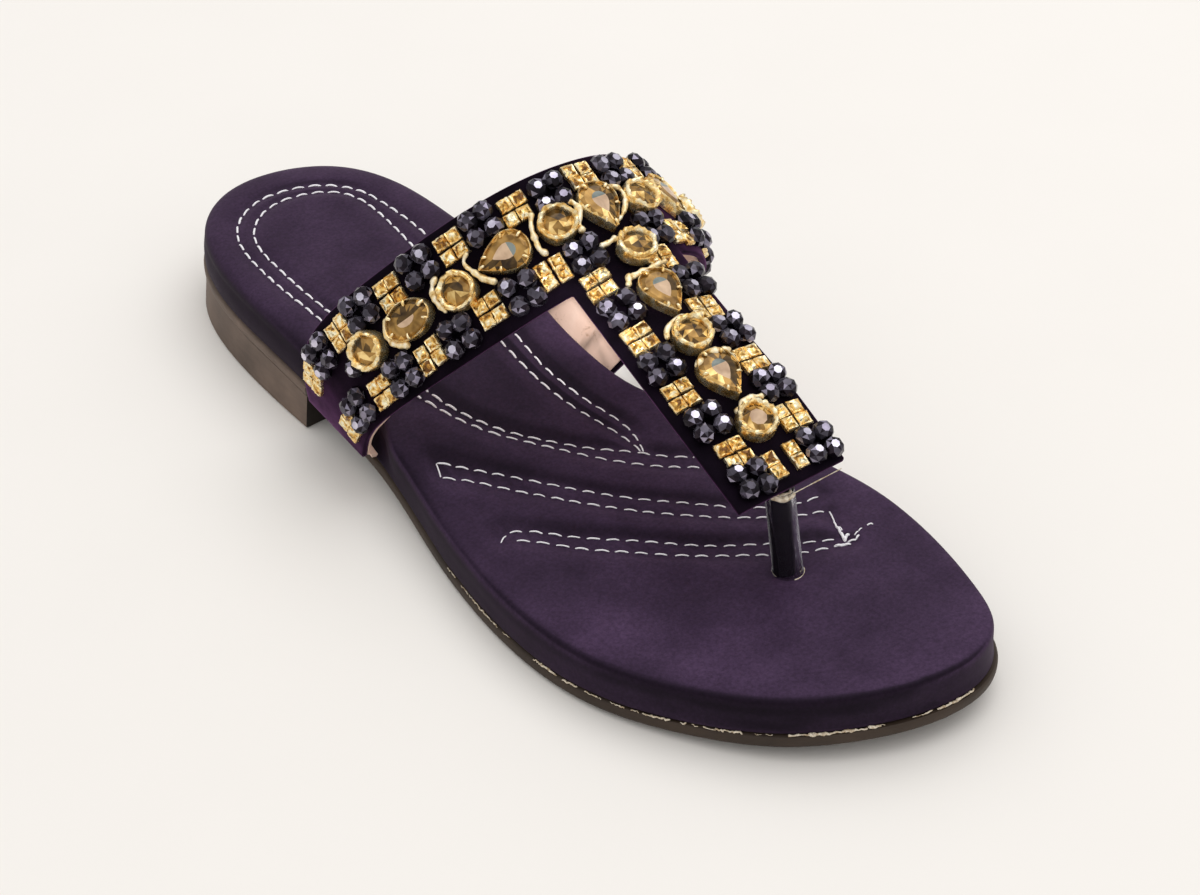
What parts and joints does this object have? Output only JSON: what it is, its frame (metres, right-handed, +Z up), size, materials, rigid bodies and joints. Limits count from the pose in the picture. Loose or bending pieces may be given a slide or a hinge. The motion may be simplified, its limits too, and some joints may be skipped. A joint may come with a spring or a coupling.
{
  "type": "toe post sandal",
  "caption": "Right-foot flat toe post sandal: low heel, padded stitched footbed, hollow velvet T-strap set with beads and stones, clear sleeve on the post.",
  "frame": {"origin": "bottom centre of the sandal's box, on the floor plane", "axes": "+Y from the heel to the toe, +X to the foot's outer side, +Z up"},
  "size_m": [0.0962, 0.2556, 0.0743],
  "materials": {
    "outsole": "matt taupe-brown sheet with fine grain and a worn edge",
    "heel_block": "matt taupe-brown stacked block, sanded sides",
    "footbed_satin": "aubergine satin over padding, soft sheen, quilted by double rows of white stitches",
    "strap_velvet": "near-black purple velvet with a sheen, rose-beige leather lining inside",
    "post_vinyl": "clear soft vinyl tube",
    "post_cord": "matt black round cord",
    "gold_metal": "polished pale gold plating with soft dents",
    "crystal": "faceted champagne-brown crystal with a foil back"
  },
  "bodies": {
    "root": {"outsole": "outsole", "heel_block": "heel_block", "footbed": "footbed_satin", "upper": "strap_velvet", "toe_post_sleeve": "post_vinyl", "toe_post_core": "post_cord", "setting_outer_1": "gold_metal", "setting_outer_2": "gold_metal", "setting_outer_3": "gold_metal", "setting_outer_4": "gold_metal", "setting_outer_5": "gold_metal", "setting_middle": "gold_metal", "setting_inner_1": "gold_metal", "setting_inner_2": "gold_metal", "setting_inner_3": "gold_metal", "setting_inner_4": "gold_metal", "setting_inner_5": "gold_metal", "setting_bar_1": "gold_metal", "setting_bar_2": "gold_metal", "setting_bar_3": "gold_metal", "setting_bar_4": "gold_metal", "setting_bar_5": "gold_metal", "crystal_outer_1": "crystal", "crystal_outer_2": "crystal", "crystal_outer_3": "crystal", "crystal_outer_4": "crystal", "crystal_outer_5": "crystal", "crystal_middle": "crystal", "crystal_inner_1": "crystal", "crystal_inner_2": "crystal", "crystal_inner_3": "crystal", "crystal_inner_4": "crystal", "crystal_inner_5": "crystal", "crystal_bar_1": "crystal", "crystal_bar_2": "crystal", "crystal_bar_3": "crystal", "crystal_bar_4": "crystal", "crystal_bar_5": "crystal"}
  },
  "joints": []
}
